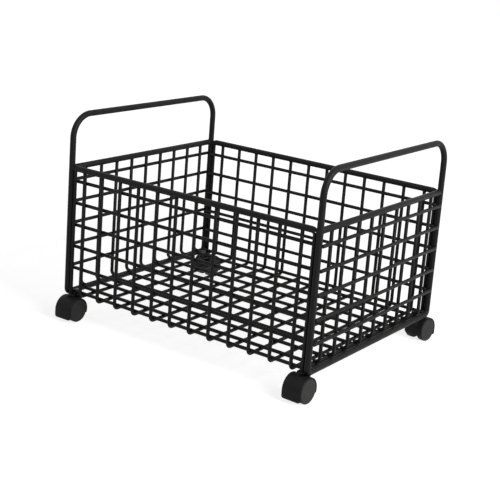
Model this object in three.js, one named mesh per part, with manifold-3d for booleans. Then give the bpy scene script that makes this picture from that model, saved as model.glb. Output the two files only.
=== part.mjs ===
// A mobile file cart: a black wire basket hung between two closed rod hoops, on four twin-wheel casters.
// Millimetres, +Z up, X along the cart's long side, -Y towards its front, origin on the floor.
import * as THREE from "three";
import { mergeVertices } from "three/addons/utils/BufferGeometryUtils.js";
import Module from "manifold-3d";

const wasm = await Module();
wasm.setup();

// Clearances
const SEAT_GAP = 0.3; // between two pieces that rest on or are welded to each other
const RUN_GAP = 0.3; // radial, round a turning piece
const WELD_SINK = 1; // how far two crossing wires of one panel sink into each other

// End hoops: closed rectangles of bent rod, whose top bars are the cart's handles
const HOOP_SPAN = 400; // from one hoop to the other, along X
const HOOP_DEPTH = 307.4; // from front post to back post, along Y
const HOOP_RISE = 249.2; // from the bottom bar to the handle bar
const HOOP_ROD = 8.4; // rod diameter
const HANDLE_BEND = 31;
const HOOP_FOOT_BEND = 6;

// Basket rims
const RIM_RISE = 177.6; // from the hoop's bottom bar to the rim
const RIM_ROD = 8.2;
const RIM_BEND = 8; // of a long rim's turned-down ends
const RIM_TURN = THREE.MathUtils.degToRad(40);

// Wire panels
const WIRE = 4.8; // wire diameter
const CROSS_WIRES = 12; // front to back
const CROSS_END_GAP = 24.2; // from the hoop's plane to the nearest cross wire
const LONG_WIRES = 9; // end to end
const LONG_END_GAP = 26.6; // from the posts' plane to the nearest long wire
const WALL_ROWS = 5; // level wires on each wall
const ROW_DROP = 18.4; // from the rim to the highest level wire
const ROW_LIFT = 36.6; // from the hoop's bottom bar to the lowest level wire
const FRONT_WIRE_BEND = 6;
const SIDE_WIRE_BEND = 6;
const FLOOR_STUB = 1; // level run after a wall wire's bend

// Caster tabs, stems and nuts
const TAB_THICKNESS = 2;
const TAB_TOP_DROP = 0.45; // below the centre of the hoop's bottom bar
const TAB_WIDTH = 10;
const TAB_LENGTH = 20;
const TAB_CORNER = 3;
const STEM_DIAMETER = 5;
const STEM_POINT = 0.6; // stands proud of the nut
const COLLAR_DIAMETER = 9;
const COLLAR_THICKNESS = 1;
const NUT_ACROSS_FLATS = 8;
const NUT_HEIGHT = 3.5;
const NUT_WIRE_GAP = 1; // from the nut's corners to the wires beside it

// Casters
// Resting swivel angles in degrees: at 0 the wheels trail to -Y
const CASTER_YAW = { front_left: 1, front_right: -1.5, back_left: 178, back_right: 174 };
const CASTER_TRAIL = 12.5; // from the stem's axis to the axle
const WHEEL_DIAMETER = 32.2;
const WHEEL_WIDTH = 8.7;
const WHEEL_CHAMFER = 1;
const WEB_THICKNESS = 9.5; // middle of the hood, between the wheels
const WEB_DISC_DIAMETER = 23;
const WHEEL_SIDE_GAP = 0.5;
const FENDER_WALL = 1.2;
const FENDER_BACK_ANGLE = THREE.MathUtils.degToRad(-24);
const FENDER_FOOT_LIFT = 5.5; // of the fender's straight front above the floor
const BOSS_DIAMETER = 11;
const HOOD_CROWN = 0.6; // top of the boss above the fender
const BOSS_FLOOR = 1.6; // under the stem's blind bore
const STEM_DEPTH = 21; // of the stem inside the hood
const RING_SECTION = 1.1;
const RING_HEIGHT = 0.8;
const RING_LIFT = 3.5; // from the stem's lower end
const GROOVE_DEPTH = 0.7;
const AXLE_DIAMETER = 4;
const AXLE_COVER = 2.2; // wheel left over the axle's end

// Facets
const ROD_SIDES = 10;
const WIRE_SIDES = 6;
const BEND_STEPS = 6;
const WIRE_BEND_STEPS = 3;
const WHEEL_SIDES = 24;
const ROUND_SIDES = 10;
const FENDER_STEPS = 10;
const TAB_CORNER_STEPS = 3;
const NUT_SIDES = 6;
const MERGE_DISTANCE = 1e-4;
const CUT_OVERSHOOT = 1; // of a cutting form past the face that it opens

// Derived sizes
const hoopX = HOOP_SPAN / 2;
const postY = HOOP_DEPTH / 2;
const hoopR = HOOP_ROD / 2;
const rimR = RIM_ROD / 2;
const wireR = WIRE / 2;
const stemR = STEM_DIAMETER / 2;
const nutR = NUT_ACROSS_FLATS / 2 / Math.cos(Math.PI / NUT_SIDES);
const wheelR = WHEEL_DIAMETER / 2;
const axleR = AXLE_DIAMETER / 2;
const fenderInner = wheelR + WHEEL_SIDE_GAP;
const fenderOuter = fenderInner + FENDER_WALL;
const wheelInnerX = WEB_THICKNESS / 2 + WHEEL_SIDE_GAP;
const hoodHalf = wheelInnerX + WHEEL_WIDTH;

// Heights, from the floor up
const axleZ = wheelR * Math.cos(Math.PI / WHEEL_SIDES); // a flat of the faceted tread lies on the floor
const hoodTop = axleZ + fenderOuter + HOOD_CROWN;
const collarBottom = hoodTop + SEAT_GAP;
const collarTop = collarBottom + COLLAR_THICKNESS;
const tabBottom = collarTop + SEAT_GAP;
const tabTop = tabBottom + TAB_THICKNESS;
const nutBottom = tabTop + SEAT_GAP;
const hoopZ = tabTop + TAB_TOP_DROP;
const handleZ = hoopZ + HOOP_RISE;
const rimZ = hoopZ + RIM_RISE;

// Places across the cart
const crossing = WIRE - WELD_SINK;
const hoopInnerX = hoopX - hoopR - SEAT_GAP; // where pieces that meet a hoop from inside the basket end
const postInnerY = postY - hoopR - SEAT_GAP;
const legX = hoopInnerX - wireR;
const frontRowY = postY - crossing;
const sideRowX = hoopX + crossing;
const wallWireTop = rimZ - rimR - SEAT_GAP;
const rimTurnDrop = RIM_BEND * (1 - Math.cos(RIM_TURN)) + rimR * Math.cos(RIM_TURN);
const legTop = rimZ - rimTurnDrop - SEAT_GAP;
const stubZ = hoopZ + hoopR + SEAT_GAP + wireR; // side wires turn in over the hoop's bottom bar
const footWireZ = stubZ - crossing;
const longWireZ = tabTop + SEAT_GAP + wireR;
const crossWireZ = longWireZ - crossing;
// A wire that lies in the front wires' bends
const bendInset = FRONT_WIRE_BEND - (FRONT_WIRE_BEND - crossing) * Math.SQRT1_2;
const edgeWireY = postY - bendInset;
const stemX = hoopInnerX - NUT_ACROSS_FLATS / 2;
const stemY = edgeWireY - wireR - NUT_WIRE_GAP - nutR;
const footWireEnd = stemY - nutR - NUT_WIRE_GAP;

// Evenly spaced wires
const spread = (count, from, to) =>
  Array.from({ length: count }, (_, i) => THREE.MathUtils.lerp(from, to, i / (count - 1)));
const crossWireXs = spread(CROSS_WIRES, CROSS_END_GAP - hoopX, hoopX - CROSS_END_GAP);
const longWireYs = spread(LONG_WIRES, LONG_END_GAP - postY, postY - LONG_END_GAP);
const rowZs = spread(WALL_ROWS, hoopZ + ROW_LIFT, rimZ - ROW_DROP);

// Materials
const finish = (color, roughness, metalness) =>
  new THREE.MeshStandardMaterial({ color, roughness, metalness });
const powderCoat = () => finish(0x1a1a1b, 0.55, 0.3);
const zincSteel = () => finish(0x47484a, 0.45, 0.8);
const hoodPlastic = () => finish(0x1c1c1d, 0.5, 0);
const wheelPlastic = () => finish(0x333335, 0.6, 0);

// A rod's route through given points, with a constant direction square to the plane in which it bends.
class RodRoute extends THREE.Curve {
  constructor(points, sideways, closed = false) {
    super();
    this.points = points;
    this.sideways = sideways;
    this.closed = closed;
    this.steps = closed ? points.length : points.length - 1;
  }

  getPoint(t) {
    return this.points[Math.round(t * this.steps) % this.points.length].clone();
  }

  getPointAt(u) {
    return this.getPoint(u);
  }

  getSpacedPoints(steps) {
    return Array.from({ length: steps + 1 }, (_, i) => this.getPoint(i / steps));
  }

  neighbour(index) {
    const count = this.points.length;
    return this.closed
      ? this.points[(index + count) % count]
      : this.points[THREE.MathUtils.clamp(index, 0, count - 1)];
  }

  tangent(index) {
    const here = this.neighbour(index);
    const before = here.clone().sub(this.neighbour(index - 1)).normalize();
    const after = this.neighbour(index + 1).clone().sub(here).normalize();
    return before.add(after).normalize();
  }

  computeFrenetFrames(steps) {
    const tangents = Array.from({ length: steps + 1 }, (_, i) => this.tangent(i));
    const normals = tangents.map((t) => new THREE.Vector3().crossVectors(this.sideways, t).normalize());
    const binormals = tangents.map((t, i) => new THREE.Vector3().crossVectors(t, normals[i]));
    return { tangents, normals, binormals };
  }
}

// Points along straight runs whose square corners are rounded, one radius for each inner corner.
function bentPoints(corners, radii, steps, closed = false) {
  const count = corners.length;
  const points = [];
  corners.forEach((corner, i) => {
    if (!closed && (i === 0 || i === count - 1)) {
      points.push(corner.clone());
      return;
    }
    const radius = closed ? radii[i] : radii[i - 1];
    const inward = corner.clone().sub(corners[(i + count - 1) % count]).normalize();
    const outward = corners[(i + 1) % count].clone().sub(corner).normalize();
    const centre = corner.clone().addScaledVector(inward, -radius).addScaledVector(outward, radius);
    for (let k = 0; k <= steps; k++) {
      const angle = (k / steps) * (Math.PI / 2);
      points.push(
        centre
          .clone()
          .addScaledVector(outward, -radius * Math.cos(angle))
          .addScaledVector(inward, radius * Math.sin(angle)),
      );
    }
  });
  return points;
}

// A polygon round a circle of the given radius, with a flat towards +x.
function polygon(radius, sides) {
  const shape = new THREE.Shape();
  for (let i = 0; i < sides; i++) {
    const angle = ((i + 0.5) / sides) * 2 * Math.PI;
    const x = radius * Math.cos(angle);
    const y = radius * Math.sin(angle);
    if (i === 0) shape.moveTo(x, y);
    else shape.lineTo(x, y);
  }
  shape.closePath();
  return shape;
}

function rod(points, radius, sides, sideways) {
  const route = new RodRoute(points, sideways);
  const section = polygon(radius, sides);
  return new THREE.ExtrudeGeometry(section, { steps: route.steps, extrudePath: route, bevelEnabled: false });
}

function closedRod(points, radius, sides, sideways) {
  const route = new RodRoute(points, sideways, true);
  return new THREE.TubeGeometry(route, route.steps, radius, sides, true);
}

// Solids for joining and cutting
function solid(geometry) {
  const bare = new THREE.BufferGeometry();
  bare.setAttribute("position", geometry.getAttribute("position"));
  bare.setIndex(geometry.index);
  const merged = mergeVertices(bare, MERGE_DISTANCE);
  return new wasm.Manifold(
    new wasm.Mesh({
      numProp: 3,
      vertProperties: new Float32Array(merged.getAttribute("position").array),
      triVerts: new Uint32Array(merged.index.array),
    }),
  );
}

function geometryOf(manifold) {
  const made = manifold.getMesh();
  const geometry = new THREE.BufferGeometry();
  geometry.setAttribute("position", new THREE.BufferAttribute(new Float32Array(made.vertProperties), 3));
  geometry.setIndex(new THREE.BufferAttribute(new Uint32Array(made.triVerts), 1));
  geometry.computeVertexNormals();
  return geometry;
}

function joined(geometries) {
  return geometryOf(geometries.map(solid).reduce((whole, piece) => whole.add(piece)));
}

function named(name, geometry, material) {
  const mesh = new THREE.Mesh(geometry, material);
  mesh.name = name;
  return mesh;
}

const vec = (x, y, z) => new THREE.Vector3(x, y, z);
const X_AXIS = vec(1, 0, 0);
const Y_AXIS = vec(0, 1, 0);
const Z_AXIS = vec(0, 0, 1);

// A straight level or upright rod from one point to another.
const bar = (from, to, radius, sides, sideways) => rod([from, to], radius, sides, sideways);
const wire = (points, sideways) => rod(points, wireR / Math.cos(Math.PI / WIRE_SIDES), WIRE_SIDES, sideways);

// Frame
function hoop(x) {
  const corners = [
    vec(x, -postY, hoopZ),
    vec(x, postY, hoopZ),
    vec(x, postY, handleZ),
    vec(x, -postY, handleZ),
  ];
  const radii = [HOOP_FOOT_BEND, HOOP_FOOT_BEND, HANDLE_BEND, HANDLE_BEND];
  return closedRod(bentPoints(corners, radii, BEND_STEPS, true), hoopR, ROD_SIDES, X_AXIS);
}

// A long rim lies between the posts of the two hoops and turns down at its ends.
function longRim(y) {
  const straightEnd = hoopInnerX - (RIM_BEND + rimR) * Math.sin(RIM_TURN);
  const turn = (side) =>
    Array.from({ length: BEND_STEPS + 1 }, (_, k) => {
      const angle = (k / BEND_STEPS) * RIM_TURN;
      const x = straightEnd + RIM_BEND * Math.sin(angle);
      return vec(side * x, y, rimZ - RIM_BEND * (1 - Math.cos(angle)));
    });
  return rod([...turn(-1).reverse(), ...turn(1)], rimR, ROD_SIDES, Y_AXIS);
}

function sideRim(x) {
  return bar(vec(x, -postInnerY, rimZ), vec(x, postInnerY, rimZ), rimR, ROD_SIDES, X_AXIS);
}

// Wire panels: side is -1 or 1
function longWall(side) {
  const wallY = side * postY;
  const floorEnd = side * (postY - FRONT_WIRE_BEND - FLOOR_STUB);
  const uprights = crossWireXs.map((x) => {
    const corners = [vec(x, wallY, wallWireTop), vec(x, wallY, crossWireZ), vec(x, floorEnd, crossWireZ)];
    return wire(bentPoints(corners, [FRONT_WIRE_BEND], WIRE_BEND_STEPS), X_AXIS);
  });
  const legs = [-legX, legX].map((x) =>
    wire([vec(x, wallY, legTop), vec(x, wallY, tabTop + SEAT_GAP)], Y_AXIS),
  );
  const level = (y, z) => wire([vec(-hoopInnerX, side * y, z), vec(hoopInnerX, side * y, z)], Z_AXIS);
  const rows = rowZs.map((z) => level(frontRowY, z));
  const edge = level(edgeWireY, crossWireZ + bendInset);
  return joined([...uprights, ...legs, ...rows, edge]);
}

function sideWall(side) {
  const wallX = side * hoopX;
  const floorEnd = side * (legX - wireR);
  const uprights = longWireYs.map((y) => {
    const corners = [vec(wallX, y, wallWireTop), vec(wallX, y, stubZ), vec(floorEnd, y, stubZ)];
    return wire(bentPoints(corners, [SIDE_WIRE_BEND], WIRE_BEND_STEPS), Y_AXIS);
  });
  const level = (x, end, z) => wire([vec(side * x, -end, z), vec(side * x, end, z)], Z_AXIS);
  const rows = rowZs.map((z) => level(sideRowX, postInnerY, z));
  const foot = level(legX, footWireEnd, footWireZ);
  return joined([...uprights, ...rows, foot]);
}

function floorPanel() {
  const endX = legX - wireR - SEAT_GAP;
  const endY = postY - FRONT_WIRE_BEND - FLOOR_STUB - SEAT_GAP;
  const lengthwise = longWireYs.map((y) =>
    wire([vec(-endX, y, longWireZ), vec(endX, y, longWireZ)], Y_AXIS),
  );
  const crosswise = crossWireXs.map((x) =>
    wire([vec(x, -endY, crossWireZ), vec(x, endY, crossWireZ)], X_AXIS),
  );
  return joined([...lengthwise, ...crosswise]);
}

// Round pieces
function disc(radius, from, to, sides = ROUND_SIDES) {
  const profile = [vec2(0, from), vec2(radius, from), vec2(radius, to), vec2(0, to)];
  return upright(new THREE.LatheGeometry(profile, sides));
}

function vec2(x, y) {
  return new THREE.Vector2(x, y);
}

// Turns a lathed form from the Y axis to the Z axis.
function upright(geometry) {
  return geometry.rotateX(Math.PI / 2);
}

// Turns a lathed form from the Y axis to the X axis.
function alongX(geometry) {
  return geometry.rotateZ(-Math.PI / 2);
}

// Corner tab: the caster's stem passes through it, and the wall's end wire stands on it.
// cornerX and cornerY are -1 or 1.
function cornerTab(cornerX, cornerY) {
  const outerX = hoopInnerX;
  const outerY = postY + wireR;
  const low = vec2(outerX - TAB_WIDTH, outerY - TAB_LENGTH);
  const shape = new THREE.Shape();
  shape.moveTo(low.x + TAB_CORNER, low.y);
  shape.lineTo(outerX, low.y);
  shape.lineTo(outerX, outerY);
  shape.lineTo(low.x + TAB_CORNER, outerY);
  shape.absarc(low.x + TAB_CORNER, outerY - TAB_CORNER, TAB_CORNER, Math.PI / 2, Math.PI);
  shape.absarc(low.x + TAB_CORNER, low.y + TAB_CORNER, TAB_CORNER, Math.PI, 1.5 * Math.PI);
  shape.holes.push(roundHole(stemX, stemY, stemR + RUN_GAP));
  const options = { depth: TAB_THICKNESS, bevelEnabled: false, curveSegments: TAB_CORNER_STEPS };
  const plate = new THREE.ExtrudeGeometry(shape, options).translate(0, 0, tabBottom);
  return mirrored(plate, cornerX, cornerY);
}

function roundHole(x, y, radius) {
  const hole = new THREE.Path();
  polygon(radius / Math.cos(Math.PI / ROUND_SIDES), ROUND_SIDES)
    .getPoints()
    .forEach((p, i) => (i === 0 ? hole.moveTo(x + p.x, y + p.y) : hole.lineTo(x + p.x, y + p.y)));
  return hole;
}

// Mirrors a solid into the corner given by two signs, with its faces still pointing out.
function mirrored(geometry, signX, signY) {
  const flat = geometry.index ? geometry.toNonIndexed() : geometry;
  flat.scale(signX, signY, 1);
  if (signX * signY > 0) return flat;
  const position = flat.getAttribute("position");
  for (let i = 0; i < position.count; i += 3) {
    const second = vec(position.getX(i + 1), position.getY(i + 1), position.getZ(i + 1));
    position.setXYZ(i + 1, position.getX(i + 2), position.getY(i + 2), position.getZ(i + 2));
    position.setXYZ(i + 2, second.x, second.y, second.z);
  }
  flat.computeVertexNormals();
  return flat;
}

function stemNut() {
  const shape = polygon(nutR, NUT_SIDES);
  shape.holes.push(roundHole(0, 0, stemR + RUN_GAP));
  const nut = new THREE.ExtrudeGeometry(shape, { depth: NUT_HEIGHT, bevelEnabled: false });
  return nut.translate(0, 0, nutBottom);
}

// Caster pieces, in the caster's own frame: stem on Z, axle along X, wheels trailing towards -Y
const stemFoot = hoodTop - STEM_DEPTH;
const boreFloor = stemFoot - SEAT_GAP;
const ringBottom = stemFoot + RING_LIFT;
const grooveR = stemR - GROOVE_DEPTH;
const ringInner = grooveR + SEAT_GAP;
const ringOuter = ringInner + RING_SECTION;

function casterStem() {
  const collarR = COLLAR_DIAMETER / 2;
  const grooveLow = ringBottom - SEAT_GAP;
  const grooveHigh = ringBottom + RING_HEIGHT + SEAT_GAP;
  const top = nutBottom + NUT_HEIGHT + STEM_POINT;
  const profile = [
    vec2(0, stemFoot),
    vec2(stemR, stemFoot),
    vec2(stemR, grooveLow),
    vec2(grooveR, grooveLow),
    vec2(grooveR, grooveHigh),
    vec2(stemR, grooveHigh),
    vec2(stemR, collarBottom),
    vec2(collarR, collarBottom),
    vec2(collarR, collarTop),
    vec2(stemR, collarTop),
    vec2(stemR, top),
    vec2(0, top),
  ];
  return upright(new THREE.LatheGeometry(profile, ROUND_SIDES));
}

function retainingRing() {
  const top = ringBottom + RING_HEIGHT;
  const profile = [
    vec2(ringInner, ringBottom),
    vec2(ringOuter, ringBottom),
    vec2(ringOuter, top),
    vec2(ringInner, top),
    vec2(ringInner, ringBottom),
  ];
  return upright(new THREE.LatheGeometry(profile, ROUND_SIDES));
}

// A slice of the hood in the wheel's plane: round from the back angle over the top, then straight down in
// front.
function hoodSlice(inner, outer, width) {
  const foot = FENDER_FOOT_LIFT - axleZ;
  const shape = new THREE.Shape();
  shape.absarc(0, 0, outer, FENDER_BACK_ANGLE, Math.PI, false);
  shape.lineTo(-outer, foot);
  if (inner > 0) {
    shape.lineTo(-inner, foot);
    shape.absarc(0, 0, inner, Math.PI, FENDER_BACK_ANGLE, true);
  } else shape.lineTo(0, 0);
  shape.closePath();
  const options = { depth: width, bevelEnabled: false, curveSegments: FENDER_STEPS };
  return inWheelPlane(new THREE.ExtrudeGeometry(shape, options), width);
}

// Stands an outline drawn as (back, up) in the plane of the wheels, centred on the hood.
function inWheelPlane(geometry, width) {
  geometry.translate(0, 0, -width / 2);
  geometry.rotateX(Math.PI / 2).rotateZ(Math.PI / 2);
  return geometry.translate(0, -CASTER_TRAIL, axleZ);
}

function axleRod(radius, from, to, sides = ROUND_SIDES) {
  const profile = [vec2(0, from), vec2(radius, from), vec2(radius, to), vec2(0, to)];
  return alongX(new THREE.LatheGeometry(profile, sides)).translate(0, -CASTER_TRAIL, axleZ);
}

function casterHood() {
  const boss = solid(disc(BOSS_DIAMETER / 2, boreFloor - BOSS_FLOOR, hoodTop))
    .subtract(solid(axleRod(fenderInner, WEB_THICKNESS / 2, hoodHalf)))
    .subtract(solid(axleRod(fenderInner, -hoodHalf, -WEB_THICKNESS / 2)));
  const bore = disc(stemR + RUN_GAP, boreFloor, hoodTop + CUT_OVERSHOOT);
  const ringPocket = disc(
    ringOuter + RUN_GAP,
    ringBottom - 2 * SEAT_GAP,
    ringBottom + RING_HEIGHT + 2 * SEAT_GAP,
  );
  return geometryOf(
    solid(hoodSlice(fenderInner, fenderOuter, 2 * hoodHalf))
      .add(solid(hoodSlice(0, fenderInner + FENDER_WALL / 2, WEB_THICKNESS)))
      .add(solid(axleRod(WEB_DISC_DIAMETER / 2, -WEB_THICKNESS / 2, WEB_THICKNESS / 2)))
      .add(boss)
      .subtract(solid(bore))
      .subtract(solid(ringPocket))
      .subtract(solid(axleRod(axleR + SEAT_GAP, -hoodHalf, hoodHalf))),
  );
}

const axleEnd = hoodHalf - AXLE_COVER;

function casterAxle() {
  return axleRod(axleR, -axleEnd, axleEnd);
}

// Wheel on the +X side, turned so that a flat of its tread lies on the floor
function casterWheel(side) {
  const outer = hoodHalf;
  const boreR = axleR + RUN_GAP;
  const boreEnd = axleEnd + SEAT_GAP;
  const profile = [
    vec2(0, boreEnd),
    vec2(boreR, boreEnd),
    vec2(boreR, wheelInnerX),
    vec2(wheelR - WHEEL_CHAMFER, wheelInnerX),
    vec2(wheelR, wheelInnerX + WHEEL_CHAMFER),
    vec2(wheelR, outer - WHEEL_CHAMFER),
    vec2(wheelR - WHEEL_CHAMFER, outer),
    vec2(0, outer),
  ];
  const wheel = alongX(new THREE.LatheGeometry(profile, WHEEL_SIDES, Math.PI / WHEEL_SIDES));
  if (side < 0) wheel.rotateZ(Math.PI);
  return wheel.translate(0, -CASTER_TRAIL, axleZ);
}

function caster(corner) {
  const group = new THREE.Group();
  group.add(
    named(`${corner}_caster_stem`, casterStem(), zincSteel()),
    named(`${corner}_stem_ring`, retainingRing(), zincSteel()),
    named(`${corner}_caster_hood`, casterHood(), hoodPlastic()),
    named(`${corner}_caster_axle`, casterAxle(), zincSteel()),
    named(`${corner}_left_wheel`, casterWheel(-1), wheelPlastic()),
    named(`${corner}_right_wheel`, casterWheel(1), wheelPlastic()),
  );
  group.rotation.z = THREE.MathUtils.degToRad(CASTER_YAW[corner]);
  return group;
}

const cart = new THREE.Group();
cart.add(
  named("left_hoop", hoop(-hoopX), powderCoat()),
  named("right_hoop", hoop(hoopX), powderCoat()),
  named("front_rim", longRim(-postY), powderCoat()),
  named("back_rim", longRim(postY), powderCoat()),
  named("left_side_rim", sideRim(-hoopX), powderCoat()),
  named("right_side_rim", sideRim(hoopX), powderCoat()),
  named("front_wire_panel", longWall(-1), powderCoat()),
  named("back_wire_panel", longWall(1), powderCoat()),
  named("left_wire_panel", sideWall(-1), powderCoat()),
  named("right_wire_panel", sideWall(1), powderCoat()),
  named("floor_wire_panel", floorPanel(), powderCoat()),
);
const corners = [
  ["front_left", -1, -1],
  ["front_right", 1, -1],
  ["back_left", -1, 1],
  ["back_right", 1, 1],
];
for (const [corner, cornerX, cornerY] of corners) {
  cart.add(named(`${corner}_caster_tab`, cornerTab(cornerX, cornerY), powderCoat()));
  const mount = new THREE.Group();
  mount.add(named(`${corner}_stem_nut`, stemNut(), zincSteel()), caster(corner));
  mount.position.set(cornerX * stemX, cornerY * stemY, 0);
  cart.add(mount);
}

// The origin is on the floor, under the middle of the cart's box: each caster points its own way, so the box
// isn't quite centred on the basket.
const box = new THREE.Box3().setFromObject(cart, true);
const middle = box.getCenter(new THREE.Vector3());
cart.position.set(-middle.x, -middle.y, -box.min.z);

export default cart;
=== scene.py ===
import math
import random

import bmesh
import bpy
from mathutils import Matrix, Vector

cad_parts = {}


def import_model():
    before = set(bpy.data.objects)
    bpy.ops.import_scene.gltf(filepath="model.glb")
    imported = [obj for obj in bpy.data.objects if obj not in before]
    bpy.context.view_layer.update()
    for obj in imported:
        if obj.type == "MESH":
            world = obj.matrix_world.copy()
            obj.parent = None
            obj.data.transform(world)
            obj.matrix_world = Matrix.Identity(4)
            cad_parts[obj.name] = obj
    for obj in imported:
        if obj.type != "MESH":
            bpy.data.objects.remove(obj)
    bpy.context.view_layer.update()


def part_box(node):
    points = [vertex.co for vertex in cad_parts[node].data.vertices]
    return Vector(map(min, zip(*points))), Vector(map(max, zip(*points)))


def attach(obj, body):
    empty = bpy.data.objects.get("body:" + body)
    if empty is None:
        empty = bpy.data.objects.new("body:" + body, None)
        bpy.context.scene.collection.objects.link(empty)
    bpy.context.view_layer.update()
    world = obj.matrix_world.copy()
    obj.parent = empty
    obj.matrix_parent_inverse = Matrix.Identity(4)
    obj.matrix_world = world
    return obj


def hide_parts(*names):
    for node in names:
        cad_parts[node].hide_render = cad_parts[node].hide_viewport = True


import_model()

# A mobile file cart: black powder-coated rods and wires on four hooded twin-wheel casters.
# Metres, +Z up, -Y towards the front.
MM = 0.001
X_AXIS, Y_AXIS, Z_AXIS = Vector((1, 0, 0)), Vector((0, 1, 0)), Vector((0, 0, 1))
rng = random.Random(11)

# Rods and wires
HOOP_R = 4.2 * MM
WIRE_R = 2.4 * MM
WELD_SINK = 1 * MM  # of two crossing wires into each other
SEAT_GAP = 0.3 * MM
HANDLE_BEND = 31 * MM
HOOP_FOOT_BEND = 6 * MM
RIM_BEND, RIM_TURN = 8 * MM, math.radians(40)  # of a long rim's turned-down ends
FRONT_WIRE_BEND = 6 * MM
SIDE_WIRE_BEND = 6 * MM
CROSS_WIRES, CROSS_END_GAP = 12, 24.2 * MM
LONG_WIRES, LONG_END_GAP = 9, 26.6 * MM
WALL_ROWS, ROW_DROP, ROW_LIFT = 5, 18.4 * MM, 36.6 * MM
WIRE_POST_SINK = 2.4 * MM  # of a level wire's end into the side of a post
NUT_WIRE_GAP = 1 * MM
WALL_TOP_SHARE, LEG_TOP_SHARE = 0.6, 0.4  # of a rim's radius, from its middle down to the wires' tops
ROD_SIDES, WIRE_SIDES = 24, 14
ROD_BEND_STEPS, WIRE_BEND_STEPS = 14, 8
END_ROUNDING = ((0.0, 0.72), (0.1, 0.88), (0.32, 1.0))  # distance from a cut end and girth, in radii

# Welds: each reach is along X, Y and Z
WELD_REACH, WELD_HEIGHT = 2.05 * MM, 0.85 * MM  # of the nugget where two wires cross
LEVEL_WELD = (WELD_REACH, WELD_REACH, WELD_HEIGHT)
LONG_WALL_WELD = (WELD_REACH, WELD_HEIGHT, WELD_REACH)
SIDE_WALL_WELD = (WELD_HEIGHT, WELD_REACH, WELD_REACH)
LONG_RIM_WELD = (1.2 * WIRE_R, 1.1 * WIRE_R, WELD_HEIGHT)
SIDE_RIM_WELD = (1.1 * WIRE_R, 1.2 * WIRE_R, WELD_HEIGHT)
LEG_WELD = (1.25 * WIRE_R, 1.2 * WIRE_R, WELD_HEIGHT)
BAR_WELD_IN, BAR_WELD_UP = 0.6 * HOOP_R, 0.9 * HOOP_R  # from the middle of the hoop's bottom bar
RIM_END_WELD = (1.3 * MM, 1.1 * MM, 2.6 * MM)
RIM_END_IN, RIM_END_ASIDE = 0.85 * HOOP_R, 0.5 * HOOP_R  # from the middle of the post
RIM_END_DROP = 0.2  # below the middle of the rim, in its radii
BEAD = (0.8 * MM, 0.7 * MM, 0.8 * MM)
BEADS = 14  # round a side rim's end
WELD_TILT, WELD_UNEVEN, WELD_WEAR = 0.3, 0.12, 0.35
WELD_SEGMENTS, WELD_RINGS = 10, 7

# Tabs, stems and nuts
TAB_CORNER = 3 * MM
TAB_CORNER_STEPS = 6
TAB_EDGE = 0.35 * MM
STEM_R = 2.5 * MM
COLLAR_R = 4.5 * MM
COLLAR_THICKNESS = 1 * MM
GROOVE_DEPTH = 0.7 * MM
THREAD_PITCH = 0.8 * MM
THREAD_DEPTH = 0.3 * MM
THREAD_FORM = (0.1, 0.45, 0.6, 0.95)  # of a pitch: start of the flank, both edges of the crest, next root
STEM_CHAMFER = 0.3 * MM
STEM_STEPS = 32
NUT_FLAT_R = 4 * MM
NUT_SIDES, NUT_SIDE_STEPS = 6, 12
NUT_FACE_R = 3.8 * MM
NUT_BEVEL = 0.3 * MM
NUT_CORNER_ANGLE = math.radians(30)
RUN_GAP = 0.3 * MM

# Casters
WHEEL_GAP = 0.5 * MM
WHEEL_EDGE, WHEEL_EDGE_STEPS = 1 * MM, 6
WHEEL_RIM = 3 * MM  # of the flat face's outer band
WHEEL_WIDTH = 8.7 * MM
FENDER_WALL = 1.2 * MM
FENDER_EDGE, FENDER_INNER_EDGE = 0.9 * MM, 0.15 * MM
FENDER_BACK = math.radians(-24)
FENDER_FOOT = 5.5 * MM  # of the fender's straight front above the floor
FENDER_CORNER = 3 * MM
HOOD_CROWN = 0.6 * MM
WEB_HALF = 4.75 * MM
WEB_EDGE = 0.4 * MM
HUB_R = 11.5 * MM
BOSS_R = 5.5 * MM
BOSS_EDGE = 0.7 * MM
BOSS_DEPTH = 22.9 * MM
BOSS_FLOOR = 1.6 * MM
BURY = 0.06 * MM  # of the boss's trimmed sides in the web and the fender
AXLE_BORE_R = 2.3 * MM
AXLE_COVER = 1.9 * MM  # of wheel over the axle's end
ROUND_STEPS = 64
ARC_STEPS, SKIRT_STEPS, CORNER_STEPS = 54, 4, 7
MERGE = 0.002 * MM  # of points that a cut leaves side by side

# Edges sharper than these stay crisp
SHARP, HOOD_SHARP, TURNED_SHARP = math.radians(38), math.radians(32), math.radians(25)

# Stage
FLOOR_HALF = 6.0
FLOOR_SHADE = (0.4, 0.4, 0.4, 1.0)
FLOOR_NEAR, FLOOR_FAR = (0.4, 0.82), (1.6, 1.0)  # distance from the cart and the floor's own white there
WHITE = (1.0, 1.0, 1.0, 1.0)
SURROUNDINGS = 0.18
LAMPS = {  # azimuth from the front, elevation, distance, size and power
    "key": (82, 30, 1.7, 1.0, 33),
    "fill": (-35, 40, 1.9, 1.3, 3),
}

# Camera
SENSOR = 36
CAMERA_AZIMUTH, CAMERA_ELEVATION, CAMERA_ROLL = math.radians(34.89), math.radians(14.06), math.radians(4.417)
CAMERA_DISTANCE = 1.7761
CAMERA_LENS = 1157.449 / 500 * SENSOR
CAMERA_SHIFT_Y = -0.1
CAMERA_AIM = Vector((-111.434, 145.436, 102.547)) * MM  # from the middle of the basket, at its bottom bars
CLIP_START, CLIP_END = 0.05, 60


# Places from the frame
def middle(node):
    low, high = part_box(node)
    return (low + high) / 2


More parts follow.
